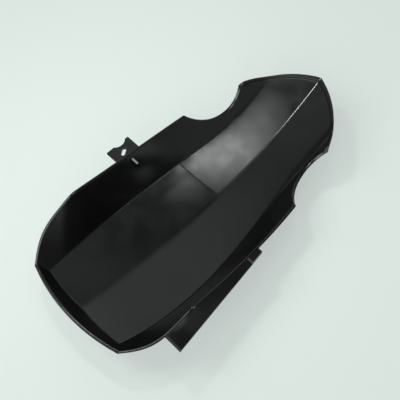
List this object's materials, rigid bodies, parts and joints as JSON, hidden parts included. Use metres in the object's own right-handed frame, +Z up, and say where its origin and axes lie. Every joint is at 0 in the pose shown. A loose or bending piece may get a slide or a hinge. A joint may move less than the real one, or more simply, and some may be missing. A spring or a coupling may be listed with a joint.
{
  "type": "scooter rear hugger",
  "caption": "Moulded rear wheel hugger for a scooter: a curved trough with a folded keel, half-round side cut-outs, a pointed end, a fixing tab and a side fin.",
  "frame": {"origin": "below the middle of the part's length, on the shell's mirror plane, at the lowest point of its outer face", "axes": "+X along the tyre towards the pointed end, +Y across towards the slotted tab, +Z up out of the hollow"},
  "size_m": [0.3604, 0.2018, 0.0649],
  "materials": {
    "hugger": "satin black moulded plastic with a fine grain"
  },
  "bodies": {
    "root": {"hugger": "hugger"}
  },
  "joints": []
}
